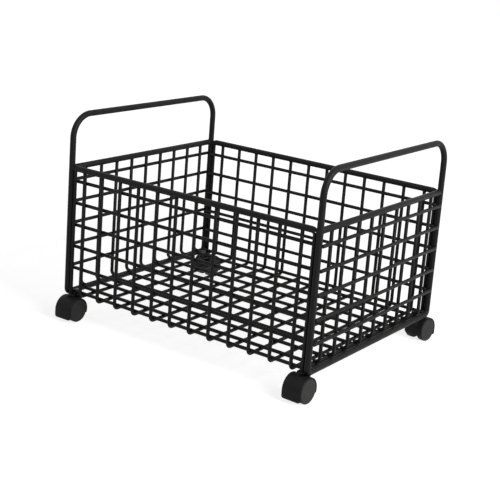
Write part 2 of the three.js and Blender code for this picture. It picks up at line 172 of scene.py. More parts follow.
hoop_low, hoop_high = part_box("right_hoop")
rim_low, rim_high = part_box("right_side_rim")
floor_low, floor_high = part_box("floor_wire_panel")
RIM_R = (rim_high.x - rim_low.x) / 2
basket_x = (middle("left_hoop").x + middle("right_hoop").x) / 2
basket_y = middle("right_hoop").y
hoop_x = middle("right_hoop").x - basket_x
post_y = (hoop_high.y - hoop_low.y) / 2 - HOOP_R
hoop_z = hoop_low.z + HOOP_R
handle_z = hoop_high.z - HOOP_R
rim_z = middle("right_side_rim").z
tab_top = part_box("front_right_caster_tab")[1].z
crossing = 2 * WIRE_R - WELD_SINK
leg_x = hoop_x - HOOP_R - SEAT_GAP - WIRE_R
leg_top = rim_z - RIM_BEND * (1 - math.cos(RIM_TURN)) - LEG_TOP_SHARE * RIM_R
front_row_y = post_y - crossing
side_row_x = hoop_x + crossing
row_end_x = hoop_x - WIRE_POST_SINK
row_end_y = post_y - WIRE_POST_SINK
wall_top = rim_z - WALL_TOP_SHARE * RIM_R
stub_z = hoop_z + HOOP_R + WIRE_R
stub_end = leg_x - WIRE_R
foot_z = stub_z - crossing
foot_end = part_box("back_right_stem_nut")[0].y - basket_y - NUT_WIRE_GAP
cross_z = floor_low.z + WIRE_R
long_z = floor_high.z - WIRE_R
long_end = leg_x - WIRE_R / 2
edge_inset = FRONT_WIRE_BEND - (FRONT_WIRE_BEND - crossing) * math.sqrt(0.5)
edge_y = post_y - edge_inset
edge_z = cross_z + edge_inset


def spread(count, low, high):
    return [low + (high - low) * i / (count - 1) for i in range(count)]


cross_xs = spread(CROSS_WIRES, CROSS_END_GAP - hoop_x, hoop_x - CROSS_END_GAP)
long_ys = spread(LONG_WIRES, LONG_END_GAP - post_y, post_y - LONG_END_GAP)
row_zs = spread(WALL_ROWS, hoop_z + ROW_LIFT, rim_z - ROW_DROP)


def at(x, y, z):
    """A point of the basket, whose middle lies a little off the frame's origin."""
    return Vector((x + basket_x, y + basket_y, z))


# Materials
class Shader:
    """A Principled material and the few node forms that the finishes share."""

    def __init__(self, name):
        self.material = bpy.data.materials.new(name)
        self.material.use_nodes = True
        self.tree = self.material.node_tree
        self.tree.nodes.clear()
        self.surface = self.node("ShaderNodeBsdfPrincipled")
        output = self.node("ShaderNodeOutputMaterial")
        self.link(self.surface.outputs["BSDF"], output.inputs["Surface"])
        self.place = self.node("ShaderNodeTexCoord").outputs["Object"]

    def node(self, kind, **settings):
        made = self.tree.nodes.new(kind)
        for key, value in settings.items():
            setattr(made, key, value)
        return made

    def link(self, source, target):
        self.tree.links.new(source, target)

    def noise(self, scale, detail=3.0, stretch=None):
        made = self.node("ShaderNodeTexNoise")
        made.inputs["Scale"].default_value = scale
        made.inputs["Detail"].default_value = detail
        place = self.place
        if stretch:
            mapping = self.node("ShaderNodeMapping")
            mapping.inputs["Scale"].default_value = stretch
            self.link(place, mapping.inputs["Vector"])
            place = mapping.outputs["Vector"]
        self.link(place, made.inputs["Vector"])
        return made.outputs["Fac"]

    def remap(self, source, low, high, start=0.3, end=0.7):
        made = self.node("ShaderNodeMapRange")
        for key, value in (("From Min", start), ("From Max", end), ("To Min", low), ("To Max", high)):
            made.inputs[key].default_value = value
        self.link(source, made.inputs["Value"])
        return made.outputs["Result"]

    def times(self, a, b):
        made = self.node("ShaderNodeMath", operation="MULTIPLY")
        self.link(a, made.inputs[0])
        self.link(b, made.inputs[1])
        return made.outputs["Value"]

    def mix(self, share, a, b):
        made = self.node("ShaderNodeMix", data_type="RGBA")
        sockets = [s for s in made.inputs if s.type == "RGBA"]
        for socket, value in zip(sockets, (a, b)):
            if isinstance(value, tuple):
                socket.default_value = (*value, 1.0)
            else:
                self.link(value, socket)
        self.link(share, made.inputs["Factor"])
        return next(s for s in made.outputs if s.type == "RGBA")

    def attribute(self, name):
        return self.node("ShaderNodeAttribute", attribute_name=name).outputs["Fac"]

    def facing_up(self):
        normal = self.node("ShaderNodeNewGeometry").outputs["Normal"]
        split = self.node("ShaderNodeSeparateXYZ")
        self.link(normal, split.inputs["Vector"])
        return self.remap(split.outputs["Z"], 0.0, 1.0, 0.2, 1.0)

    def bump(self, height, distance, strength):
        made = self.node("ShaderNodeBump")
        made.inputs["Distance"].default_value = distance
        made.inputs["Strength"].default_value = strength
        self.link(height, made.inputs["Height"])
        self.link(made.outputs["Normal"], self.surface.inputs["Normal"])

    def set(self, **values):
        for key, value in values.items():
            socket = self.surface.inputs[key.replace("_", " ")]
            if isinstance(value, bpy.types.NodeSocket):
                self.link(value, socket)
            else:
                socket.default_value = value


def powder_coat():
    """Satin black powder coat: faint mottling, orange peel, thin dust above and rubbed cut ends."""
    s = Shader("powder_coat")
    mottle = s.noise(55.0)
    coat = s.mix(s.remap(mottle, 0.0, 1.0), (0.0034, 0.0034, 0.0034), (0.006, 0.006, 0.0057))
    dust = s.times(s.facing_up(), s.remap(s.noise(150.0, 5.0), 0.0, 0.3))
    dusty = s.mix(dust, coat, (0.022, 0.0215, 0.0205))
    worn = s.times(s.attribute("wear"), s.remap(s.noise(700.0), 0.1, 0.8))
    s.set(Base_Color=s.mix(worn, dusty, (0.03, 0.03, 0.0305)))
    s.set(Roughness=s.remap(s.noise(90.0), 0.43, 0.55), Metallic=0.0, Specular_IOR_Level=0.13)
    s.bump(s.noise(1500.0, 2.0), 0.06 * MM, 0.35)
    return s.material


def zinc_steel():
    """Dark plated steel: cloudy tone and fine turning marks."""
    s = Shader("zinc_steel")
    cloud = s.remap(s.noise(260.0), 0.0, 1.0)
    s.set(Base_Color=s.mix(cloud, (0.07, 0.07, 0.073), (0.13, 0.127, 0.12)), Metallic=0.85)
    s.set(Roughness=s.remap(s.noise(400.0, 4.0, (1.0, 1.0, 12.0)), 0.32, 0.5))
    s.bump(s.noise(500.0, 2.0, (1.0, 1.0, 14.0)), 0.03 * MM, 0.4)
    return s.material


def hood_plastic():
    """Black moulded nylon with a fine grain."""
    s = Shader("hood_plastic")
    cloud = s.remap(s.noise(120.0), 0.0, 1.0)
    tone = s.mix(cloud, (0.0042, 0.0042, 0.0043), (0.0066, 0.0066, 0.0066))
    dust = s.times(s.facing_up(), s.remap(s.noise(320.0, 5.0), 0.0, 0.3))
    s.set(Base_Color=s.mix(dust, tone, (0.02, 0.0195, 0.019)))
    s.set(Roughness=s.remap(s.noise(240.0), 0.48, 0.62), Metallic=0.0, Specular_IOR_Level=0.13)
    s.bump(s.noise(2600.0, 2.0), 0.05 * MM, 0.3)
    return s.material


def wheel_plastic():
    """Dark grey moulded nylon, with darker, speckled treads."""
    s = Shader("wheel_plastic")
    cloud = s.remap(s.noise(140.0), 0.0, 1.0)
    face = s.mix(cloud, (0.019, 0.019, 0.0185), (0.024, 0.024, 0.023))
    # The treads are mixed a little darker than the faces, speckled by fine noise
    grit = s.remap(s.noise(520.0, 5.0), 0.0, 1.0)
    darker_tread = s.mix(grit, (0.012, 0.012, 0.012), (0.024, 0.0235, 0.023))
    s.set(Base_Color=s.mix(s.attribute("tread"), face, darker_tread))
    s.set(Roughness=s.remap(s.noise(300.0), 0.5, 0.66), Metallic=0.0, Specular_IOR_Level=0.13)
    s.bump(s.noise(2200.0, 2.0), 0.05 * MM, 0.3)
    return s.material


MATERIALS = {
    "powder_coat": powder_coat(),
    "zinc_steel": zinc_steel(),
    "hood_plastic": hood_plastic(),
    "wheel_plastic": wheel_plastic(),
}


# Meshes
def new_form():
    form = bmesh.new()
    form.verts.layers.float.new("wear")
    form.verts.layers.float.new("tread")
    return form


def mark(form, verts, name, value):
    layer = form.verts.layers.float[name]
    for v in verts:
        v[layer] = value


def piece(name, form, body, nodes, slot, sharp=SHARP):
    """Turns a form into a shown object that rides a body and stands for its CAD nodes."""
    bmesh.ops.recalc_face_normals(form, faces=form.faces)
    for face in form.faces:
        face.smooth = True
    for edge in form.edges:
        edge.smooth = not edge.is_manifold or edge.calc_face_angle() < sharp
    mesh = bpy.data.meshes.new(name)
    form.to_mesh(mesh)
    form.free()
    made = bpy.data.objects.new(name, mesh)
    bpy.context.scene.collection.objects.link(made)
    mesh.materials.append(MATERIALS[slot])
    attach(made, body)
    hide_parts(*nodes)
    return made


def bridge(form, rings, around=True, along=False):
    """Quads between rings of vertices."""
    for a, b in zip(rings, rings[1:] + rings[:1] if along else rings[1:]):
        count = len(a)
        for i in range(count if around else count - 1):
            j = (i + 1) % count
            form.faces.new((a[i], a[j], b[j], b[i]))


def bent(corners, radii, steps, closed=False):
    """Points along straight runs whose square corners are rounded."""
    count = len(corners)
    points = []
    for i, corner in enumerate(corners):
        if not closed and i in (0, count - 1):
            points.append(corner)
            continue
        radius = radii[i if closed else i - 1]
        inward = (corner - corners[i - 1]).normalized()
        outward = (corners[(i + 1) % count] - corner).normalized()
        centre = corner + (outward - inward) * radius
        for k in range(steps + 1):
            turn = k / steps * math.pi / 2
            points.append(centre - outward * radius * math.cos(turn) + inward * radius * math.sin(turn))
    return points


def sweep(form, points, radius, sides, sideways, closed=False):
    """A round rod along points that lie in a plane square to sideways, with rounded cut ends."""
    count = len(points)
    stations = []
    for i, here in enumerate(points):
        before = here - points[i - 1] if closed or i else Vector()
        after = points[(i + 1) % count] - here if closed or i < count - 1 else Vector()
        tangent = (before.normalized() + after.normalized()).normalized()
        if closed or 0 < i < count - 1:
            stations.append((here, tangent, 1.0))
        else:
            rounding = END_ROUNDING if i == 0 else END_ROUNDING[::-1]
            inwards = tangent if i == 0 else -tangent
            stations += [(here + inwards * back * radius, tangent, girth) for back, girth in rounding]
    rings = []
    for place, tangent, girth in stations:
        out = sideways.cross(tangent).normalized()
        ring = []
        for k in range(sides):
            turn = 2 * math.pi * k / sides
            offset = (out * math.cos(turn) + sideways * math.sin(turn)) * radius * girth
            ring.append(form.verts.new(place + offset))
        if girth < 1:
            mark(form, ring, "wear", 1.0)
        rings.append(ring)
    bridge(form, rings, along=closed)
    if not closed:
        form.faces.new(rings[0])
        form.faces.new(rings[-1])


def nugget(form, centre, reach):
    """A small uneven weld nugget, with its reach along X, Y and Z."""
    turn = Matrix.Rotation(rng.uniform(-WELD_TILT, WELD_TILT), 4, rng.choice("XYZ"))
    size = Matrix.Diagonal((*(r * rng.uniform(1 - WELD_UNEVEN, 1 + WELD_UNEVEN) for r in reach), 1.0))
    place = Matrix.Translation(centre) @ turn @ size
    made = bmesh.ops.create_uvsphere(
        form, u_segments=WELD_SEGMENTS, v_segments=WELD_RINGS, radius=1.0, matrix=place
    )
    mark(form, made["verts"], "wear", WELD_WEAR)


# Frame
def hoop(name, x):
    """Closed rod at one end of the cart: bottom bar, two posts and the handle above them."""
    form = new_form()
    corners = [
        at(x, -post_y, hoop_z),
        at(x, post_y, hoop_z),
        at(x, post_y, handle_z),
        at(x, -post_y, handle_z),
    ]
    bends = [HOOP_FOOT_BEND, HOOP_FOOT_BEND, HANDLE_BEND, HANDLE_BEND]
    sweep(form, bent(corners, bends, ROD_BEND_STEPS, True), HOOP_R, ROD_SIDES, X_AXIS, True)
    piece(f"{name}_rod", form, "basket", [name], "powder_coat")


def long_rim(name, y):
    """Rim between the posts of the two hoops, whose ends turn down against them."""
    form = new_form()
    straight_end = hoop_x - HOOP_R - (RIM_BEND + RIM_R) * math.sin(RIM_TURN)
    run = []
    for k in range(ROD_BEND_STEPS + 1):
        turn = k / ROD_BEND_STEPS * RIM_TURN
        run.append((straight_end + RIM_BEND * math.sin(turn), rim_z - RIM_BEND * (1 - math.cos(turn))))
    points = [at(-x, y, z) for x, z in run[::-1]] + [at(x, y, z) for x, z in run]
    sweep(form, points, RIM_R, ROD_SIDES, Y_AXIS)
    for side in (-1, 1):
        for face in (-1, 1):
            seam = at(side * (hoop_x - RIM_END_IN), y + face * RIM_END_ASIDE, rim_z - RIM_END_DROP * RIM_R)
            nugget(form, seam, RIM_END_WELD)
    piece(f"{name}_rod", form, "basket", [name], "powder_coat")


def side_rim(name, x):
    """Rim between the two posts of one hoop, with a weld bead round each end."""
    form = new_form()
    sweep(form, [at(x, -post_y, rim_z), at(x, post_y, rim_z)], RIM_R, ROD_SIDES, X_AXIS)
    for y in (-1, 1):
        for k in range(BEADS):
            turn = 2 * math.pi * k / BEADS
            across = RIM_R * math.cos(turn)
            depth = math.sqrt(HOOP_R ** 2 - across ** 2)
            seam = at(x + across, y * (post_y - depth), rim_z + RIM_R * math.sin(turn))
            nugget(form, seam, BEAD)
    piece(f"{name}_rod", form, "basket", [name], "powder_coat")


# Basket
def cross_wires():
    """Unbroken wires down the front wall, under the floor and up the back wall."""
    form = new_form()
    for x in cross_xs:
        corners = [
            at(x, -post_y, wall_top),
            at(x, -post_y, cross_z),
            at(x, post_y, cross_z),
            at(x, post_y, wall_top),
        ]
        sweep(form, bent(corners, [FRONT_WIRE_BEND] * 2, WIRE_BEND_STEPS), WIRE_R, WIRE_SIDES, X_AXIS)
        for y in (-post_y, post_y):
            nugget(form, at(x, y, rim_z - RIM_R), LONG_RIM_WELD)
    panels = ["front_wire_panel", "back_wire_panel", "floor_wire_panel"]
    piece("cross_wires", form, "basket", panels, "powder_coat")


def long_wires():
    """Lengthwise wires of the floor, laid on the cross wires and welded to them."""
    form = new_form()
    for y in long_ys:
        sweep(form, [at(-long_end, y, long_z), at(long_end, y, long_z)], WIRE_R, WIRE_SIDES, Y_AXIS)
        for x in cross_xs:
            nugget(form, at(x, y, (long_z + cross_z) / 2), LEVEL_WELD)
    piece("long_wires", form, "basket", ["floor_wire_panel"], "powder_coat")


def long_wall(name, side):
    """Level wires of the front or back wall inside its upright ones, and the end wires beside the posts."""
    form = new_form()
    wall_y = side * post_y
    row_y = side * front_row_y
    bottom_y = side * edge_y
    seam_y = side * (front_row_y + post_y) / 2
    for z in row_zs:
        sweep(form, [at(-row_end_x, row_y, z), at(row_end_x, row_y, z)], WIRE_R, WIRE_SIDES, Z_AXIS)
        for x in (*cross_xs, -leg_x, leg_x):
            nugget(form, at(x, seam_y, z), LONG_WALL_WELD)
    for x in (-leg_x, leg_x):
        sweep(form, [at(x, wall_y, leg_top), at(x, wall_y, tab_top)], WIRE_R, WIRE_SIDES, Y_AXIS)
        nugget(form, at(x, wall_y, tab_top), LEG_WELD)
    sweep(form, [at(-row_end_x, bottom_y, edge_z), at(row_end_x, bottom_y, edge_z)], WIRE_R, WIRE_SIDES, Z_AXIS)
    piece(f"{name}_wires", form, "basket", [f"{name}_wire_panel"], "powder_coat")


def side_wall(name, side):
    """Upright wires of an end wall, which turn in over the hoop's bottom bar, and level ones outside them."""
    form = new_form()
    wall_x = side * hoop_x
    for y in long_ys:
        corners = [at(wall_x, y, wall_top), at(wall_x, y, stub_z), at(side * stub_end, y, stub_z)]
        sweep(form, bent(corners, [SIDE_WIRE_BEND], WIRE_BEND_STEPS), WIRE_R, WIRE_SIDES, Y_AXIS)
        nugget(form, at(wall_x, y, rim_z - RIM_R), SIDE_RIM_WELD)
        nugget(form, at(wall_x - side * BAR_WELD_IN, y, hoop_z + BAR_WELD_UP), LEVEL_WELD)
        nugget(form, at(side * leg_x, y, (stub_z + foot_z) / 2), LEVEL_WELD)
    seam_x = side * (side_row_x + hoop_x) / 2
    for z in row_zs:
        x = side * side_row_x
        sweep(form, [at(x, -row_end_y, z), at(x, row_end_y, z)], WIRE_R, WIRE_SIDES, Z_AXIS)
        for y in long_ys:
            nugget(form, at(seam_x, y, z), SIDE_WALL_WELD)
    x = side * leg_x
    sweep(form, [at(x, -foot_end, foot_z), at(x, foot_end, foot_z)], WIRE_R, WIRE_SIDES, Z_AXIS)
    piece(f"{name}_wires", form, "basket", [f"{name}_wire_panel"], "powder_coat")


# Caster fittings
def lathe(form, profile, steps=ROUND_STEPS, place=Matrix()):
    """Turns a profile of (radius, height) round Z. Ends on the axis close to a point."""
    rings = []
    for radius, height in profile:
        if radius < 1e-9:
            rings.append([form.verts.new(place @ Vector((0, 0, height)))])
            continue
        ring = []
        for k in range(steps):
            turn = 2 * math.pi * k / steps
            point = Vector((radius * math.cos(turn), radius * math.sin(turn), height))
            ring.append(form.verts.new(place @ point))
        rings.append(ring)
    for a, b in zip(rings, rings[1:]):
        if len(a) == len(b):
            bridge(form, [a, b])
            continue
        tip, ring = (a, b) if len(a) == 1 else (b, a)
        for i in range(steps):
            form.faces.new((tip[0], ring[i], ring[(i + 1) % steps]))
    return rings


def rounded_rectangle(low, high, radii, steps):
    """Outline points, anticlockwise from the low corner, with one radius for each corner."""
    corners = [
        (low.x, low.y, math.pi),
        (high.x, low.y, 1.5 * math.pi),
        (high.x, high.y, 0.0),
        (low.x, high.y, 0.5 * math.pi),
    ]
    points = []
    for (x, y, start), radius in zip(corners, radii):
        centre_x = x + (radius if x == low.x else -radius)
        centre_y = y + (radius if y == low.y else -radius)
        for k in range(steps + 1):
            turn = start + k / steps * math.pi / 2
            points.append((centre_x + radius * math.cos(turn), centre_y + radius * math.sin(turn)))
    return points


def corner_tab(corner):
    """Plate under the wall's end wire, with softened edges and a hole for the stem."""
    low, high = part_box(f"{corner}_caster_tab")
    stem = middle(f"{corner}_caster_stem")
    outer_is_high = high.x > 0
    soft, crisp = TAB_CORNER, 2 * TAB_EDGE
    radii = [soft, crisp, crisp, soft] if outer_is_high else [crisp, soft, soft, crisp]
    hole_r = STEM_R + RUN_GAP
    form = new_form()

    def outline(inset, z):
        shift = Vector((inset, inset, 0))
        flat = rounded_rectangle(low + shift, high - shift, [r - inset for r in radii], TAB_CORNER_STEPS)
        return [Vector((x, y, z)) for x, y in flat]

    def hole(radius, z):
        points = []
        for p in outline(0, z):
            away = Vector((p.x - stem.x, p.y - stem.y, 0)).normalized()
            points.append(Vector((stem.x, stem.y, z)) + away * radius)
        return points

    loops = [
        hole(hole_r, low.z + TAB_EDGE),
        hole(hole_r + TAB_EDGE, low.z),
        outline(TAB_EDGE, low.z),
        outline(0, low.z + TAB_EDGE),
        outline(0, high.z - TAB_EDGE),
        outline(TAB_EDGE, high.z),
        hole(hole_r + TAB_EDGE, high.z),
        hole(hole_r, high.z - TAB_EDGE),
    ]
    rings = [[form.verts.new(p) for p in loop] for loop in loops]
    bridge(form, rings, along=True)
    piece(f"{corner}_tab", form, "basket", [f"{corner}_caster_tab"], "powder_coat")


def caster_stem(corner):
    """Stem with its collar, and a thread above it."""
    low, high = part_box(f"{corner}_caster_stem")
    stem = middle(f"{corner}_caster_stem")
    collar_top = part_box(f"{corner}_caster_tab")[0].z - SEAT_GAP
    collar_low = collar_top - COLLAR_THICKNESS
    ring_low, ring_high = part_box(f"{corner}_stem_ring")
    groove_r = STEM_R - GROOVE_DEPTH
    root_r = STEM_R - THREAD_DEPTH
    profile = [
        (0, low.z),
        (STEM_R - STEM_CHAMFER, low.z),
        (STEM_R, low.z + STEM_CHAMFER),
        (STEM_R, ring_low.z - SEAT_GAP),
        (groove_r, ring_low.z - SEAT_GAP),
        (groove_r, ring_high.z + SEAT_GAP),
        (STEM_R, ring_high.z + SEAT_GAP),
        (STEM_R, collar_low),
        (COLLAR_R - STEM_CHAMFER, collar_low),
        (COLLAR_R, collar_low + STEM_CHAMFER),
        (COLLAR_R, collar_top - STEM_CHAMFER),
        (COLLAR_R - STEM_CHAMFER, collar_top),
        (root_r, collar_top),
    ]
    turns = int((high.z - collar_top) / THREAD_PITCH)
    for k in range(turns):
        z = collar_top + k * THREAD_PITCH
        for radius, share in zip((root_r, STEM_R, STEM_R, root_r), THREAD_FORM):
            profile.append((radius, z + share * THREAD_PITCH))
    profile += [(root_r - STEM_CHAMFER, high.z), (0, high.z)]
    form = new_form()
    lathe(form, profile, STEM_STEPS, Matrix.Translation((stem.x, stem.y, 0)))
    piece(f"{corner}_stem", form, "basket", [f"{corner}_caster_stem"], "zinc_steel", TURNED_SHARP)


def stem_nut(corner):
    """Hexagon nut whose corners are turned down at both faces."""
    low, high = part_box(f"{corner}_stem_nut")
    stem = middle(f"{corner}_caster_stem")
    hole_r = STEM_R + RUN_GAP
    steps = NUT_SIDE_STEPS * NUT_SIDES
    form = new_form()

    def ring(radius_at, height_at):
        made = []
        for k in range(steps):
            turn = 2 * math.pi * k / steps
            r = radius_at(turn)
            point = (stem.x + r * math.cos(turn), stem.y + r * math.sin(turn), height_at(r))
            made.append(form.verts.new(point))
        return made

    def flats(turn):
        side = 2 * math.pi / NUT_SIDES
        return NUT_FLAT_R / math.cos((turn + side / 2) % side - side / 2)

    def drop(radius):
        return max(0.0, radius - NUT_FACE_R) * math.tan(NUT_CORNER_ANGLE)

    rings = [
        ring(lambda t: hole_r, lambda r: low.z + NUT_BEVEL),
        ring(lambda t: hole_r + NUT_BEVEL, lambda r: low.z),
        ring(lambda t: NUT_FACE_R, lambda r: low.z),
        ring(flats, lambda r: low.z + drop(r)),
        ring(flats, lambda r: high.z - drop(r)),
        ring(lambda t: NUT_FACE_R, lambda r: high.z),
        ring(lambda t: hole_r + NUT_BEVEL, lambda r: high.z),
        ring(lambda t: hole_r, lambda r: high.z - NUT_BEVEL),
    ]
    bridge(form, rings, along=True)
    piece(f"{corner}_nut", form, "basket", [f"{corner}_stem_nut"], "zinc_steel", TURNED_SHARP)


# Hood, in the caster's own frame: stem on Z, axle along X, wheels towards -Y
def fender_stations(outer, foot_drop, half):
    """Centres, outward directions and half widths: round over the top, then straight down in front.

    The half width shrinks towards both ends, which rounds the fender's corners."""
    arc = outer * (math.pi - FENDER_BACK)
    length = arc + foot_drop
    runs = [FENDER_CORNER * (1 - math.cos(math.pi / 2 * k / CORNER_STEPS)) for k in range(CORNER_STEPS + 1)]
    runs += spread(ARC_STEPS, FENDER_CORNER, arc)[1:]
    runs += spread(SKIRT_STEPS, arc, length - FENDER_CORNER)[1:]
    runs += [length - run for run in runs[CORNER_STEPS - 1::-1]]
    stations = []
    for run in runs:
        turn = FENDER_BACK + min(run, arc) / outer
        centre = Vector((0, 0, min(0.0, arc - run)))
        short = max(0.0, FENDER_CORNER - min(run, length - run))
        narrow = FENDER_CORNER - math.sqrt(max(0.0, FENDER_CORNER ** 2 - short ** 2))
        stations.append((centre, Vector((0, math.cos(turn), math.sin(turn))), half - narrow))
    return stations


def carried(form, stations, inner, outer, place):
    """Carries the fender's section along stations, and caps both ends."""
    rings = []
    edges = (FENDER_INNER_EDGE, FENDER_INNER_EDGE, FENDER_EDGE, FENDER_EDGE)
    for centre, out, half in stations:
        section = softened([(-half, inner), (half, inner), (half, outer), (-half, outer)], edges)
        rings.append([form.verts.new(place @ (centre + out * r + X_AXIS * x)) for x, r in section])
    bridge(form, rings)
    form.faces.new(rings[0])
    form.faces.new(rings[-1])


def softened(points, radii, steps=4):
    """A closed outline of (a, b) points with its corners rounded."""
    made = []
    count = len(points)
    for i, ((a, b), radius) in enumerate(zip(points, radii)):
        here = Vector((a, b))
        to_last = (Vector(points[i - 1]) - here).normalized()
        to_next = (Vector(points[(i + 1) % count]) - here).normalized()
        for k in range(steps + 1):
            t = k / steps
            made.append(here + to_last * radius * (1 - t) ** 2 + to_next * radius * t ** 2)
    return [(p.x, p.y) for p in made]


def plate(outline, half, place):
    """A plate in the wheel's plane with the given outline, half of it on either side."""
    form = new_form()
    rings = [[form.verts.new(place @ (p + X_AXIS * x)) for p in outline] for x in (-half, half)]
    bridge(form, rings)
    form.faces.new(rings[0])
    form.faces.new(rings[1])
    return form


def solid_object(form):
    """A form as an object that combined() can join or cut with."""
    bmesh.ops.recalc_face_normals(form, faces=form.faces)
    mesh = bpy.data.meshes.new("cutter")
    form.to_mesh(mesh)
    form.free()
    made = bpy.data.objects.new("cutter", mesh)
    bpy.context.scene.collection.objects.link(made)
    return made


def combined(base, steps):
    """Joins and cuts solids in order, and gives back the finished mesh as a form."""
    for operation, other in steps:
        modifier = base.modifiers.new("combine", "BOOLEAN")
        modifier.operation = operation
        modifier.object = other
        modifier.solver = "EXACT"
    evaluated = base.evaluated_get(bpy.context.evaluated_depsgraph_get())
    form = new_form()
    form.from_mesh(evaluated.to_mesh())
    evaluated.to_mesh_clear()
    for used in [base, *(other for _, other in steps)]:
        mesh = used.data
        bpy.data.objects.remove(used)
        bpy.data.meshes.remove(mesh)
    bmesh.ops.remove_doubles(form, verts=form.verts, dist=MERGE)
    return form


def hood_form(trail, axle_z, hood_half, top, ring_box):
    """Fender over both wheels, a web between them and a boss round the stem and its retaining ring."""
    outer = top - HOOD_CROWN - axle_z
    inner = outer - FENDER_WALL
    axle = Matrix.Translation((0, -trail, axle_z))
    along_x = axle @ Matrix.Rotation(math.pi / 2, 4, "Y")
    stations = fender_stations(outer, axle_z - FENDER_FOOT, hood_half)
    fender = new_form()
    carried(fender, stations, inner, outer, axle)
    reach = inner + FENDER_WALL / 2
    web = plate([Vector()] + [centre + out * reach for centre, out, _ in stations], WEB_HALF, axle)
    hub = new_form()
    lathe(hub, [(0, -WEB_HALF), (HUB_R - WEB_EDGE, -WEB_HALF), (HUB_R, WEB_EDGE - WEB_HALF),
                (HUB_R, WEB_HALF - WEB_EDGE), (HUB_R - WEB_EDGE, WEB_HALF), (0, WEB_HALF)], place=along_x)
    boss = new_form()
    lathe(boss, [(0, top - BOSS_DEPTH), (BOSS_R, top - BOSS_DEPTH), (BOSS_R, top - BOSS_EDGE),
                 (BOSS_R - 0.3 * BOSS_EDGE, top - 0.3 * BOSS_EDGE), (BOSS_R - BOSS_EDGE, top), (0, top)])
    wells = []
    for side in (-1, 1):
        well = new_form()
        span = sorted((side * (WEB_HALF - BURY), side * (hood_half + MM)))
        well_r = inner + BURY
        lathe(well, [(0, span[0]), (well_r, span[0]), (well_r, span[1]), (0, span[1])], place=along_x)
        wells.append(("DIFFERENCE", solid_object(well)))
    shaped_boss = combined(solid_object(boss), wells)
    bore = new_form()
    bore_low, bore_r = top - BOSS_DEPTH + BOSS_FLOOR, STEM_R + RUN_GAP
    ring_low, ring_high = ring_box
    pocket_r = (ring_high.x - ring_low.x) / 2 + RUN_GAP
    pocket_low, pocket_high = ring_low.z - 2 * SEAT_GAP, ring_high.z + 2 * SEAT_GAP
    lathe(bore, [(0, bore_low), (bore_r, bore_low), (bore_r, pocket_low), (pocket_r, pocket_low),
                 (pocket_r, pocket_high), (bore_r, pocket_high), (bore_r, top + MM), (0, top + MM)])
    axle_bore = new_form()
    ends = (-2 * WEB_HALF, 2 * WEB_HALF)
    sides = [(AXLE_BORE_R, ends[0]), (AXLE_BORE_R, ends[1])]
    lathe(axle_bore, [(0, ends[0]), *sides, (0, ends[1])], place=along_x)
    return combined(
        solid_object(fender),
        [
            ("UNION", solid_object(web)),
            ("UNION", solid_object(hub)),
            ("UNION", solid_object(shaped_boss)),
            ("DIFFERENCE", solid_object(bore)),
            ("DIFFERENCE", solid_object(axle_bore)),
        ],
    )


def wheel_form(side, wheel_r, inner_x, outer_x, place):
    """Plain disc wheel with rounded tread edges and a blind bore."""
    bore_end = outer_x - AXLE_COVER
    form = new_form()
    edge = []
    for k in range(WHEEL_EDGE_STEPS + 1):
        turn = k / WHEEL_EDGE_STEPS * math.pi / 2
        edge.append((wheel_r - WHEEL_EDGE * (1 - math.sin(turn)), WHEEL_EDGE * (1 - math.cos(turn))))
    face_r = wheel_r - WHEEL_RIM
    profile = [(0, bore_end), (AXLE_BORE_R, bore_end), (AXLE_BORE_R, inner_x), (face_r, inner_x)]
    profile += [(r, inner_x + z) for r, z in edge]
    profile += [(r, outer_x - z) for r, z in edge[::-1]]
    profile += [(face_r, outer_x), (0, outer_x)]
    flip = Matrix.Rotation(side * math.pi / 2, 4, "Y")
    rings = lathe(form, profile, ROUND_STEPS, place @ flip)
    for ring, (radius, _) in zip(rings, profile):
        if radius > wheel_r - WHEEL_EDGE / 2:
            mark(form, ring, "tread", 1.0)
    return form


def caster(corner):
    """One caster with its tab, stem and nut, turned about the stem as its axle lies in the frame."""
    stem = middle(f"{corner}_caster_stem")
    axle = middle(f"{corner}_caster_axle")
    away = Vector((axle.x - stem.x, axle.y - stem.y))
    trail, yaw = away.length, math.atan2(away.x, -away.y)
    place = Matrix.Translation((stem.x, stem.y, 0)) @ Matrix.Rotation(yaw, 4, "Z")
    inner_x = WEB_HALF + WHEEL_GAP
    outer_x = inner_x + WHEEL_WIDTH
    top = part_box(f"{corner}_caster_hood")[1].z
    corner_tab(corner)
    caster_stem(corner)
    stem_nut(corner)
    hood = hood_form(trail, axle.z, outer_x, top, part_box(f"{corner}_stem_ring"))
    bmesh.ops.transform(hood, matrix=place, verts=hood.verts)
    piece(f"{corner}_hood", hood, f"{corner}_caster", [f"{corner}_caster_hood"], "hood_plastic", HOOD_SHARP)
    hub = place @ Matrix.Translation((0, -trail, axle.z))
    for name, side in (("left", -1), ("right", 1)):
        wheel = wheel_form(side, axle.z, inner_x, outer_x, hub)
        node = f"{corner}_{name}_wheel"
        piece(f"{corner}_{name}_disc", wheel, node, [node], "wheel_plastic")
    for node in (f"{corner}_stem_ring", f"{corner}_caster_axle"):
        kept = bpy.data.objects[node]
        kept.data.materials.clear()
        kept.data.materials.append(MATERIALS["zinc_steel"])


hoop("left_hoop", -hoop_x)
hoop("right_hoop", hoop_x)
long_rim("front_rim", -post_y)
long_rim("back_rim", post_y)
side_rim("left_side_rim", -hoop_x)
side_rim("right_side_rim", hoop_x)
cross_wires()
long_wires()
long_wall("front", -1)
long_wall("back", 1)
side_wall("left", -1)
side_wall("right", 1)
for corner in ("front_left", "front_right", "back_left", "back_right"):
    caster(corner)

# Stage
scene = bpy.context.scene
scene.view_settings.view_transform = "Standard"


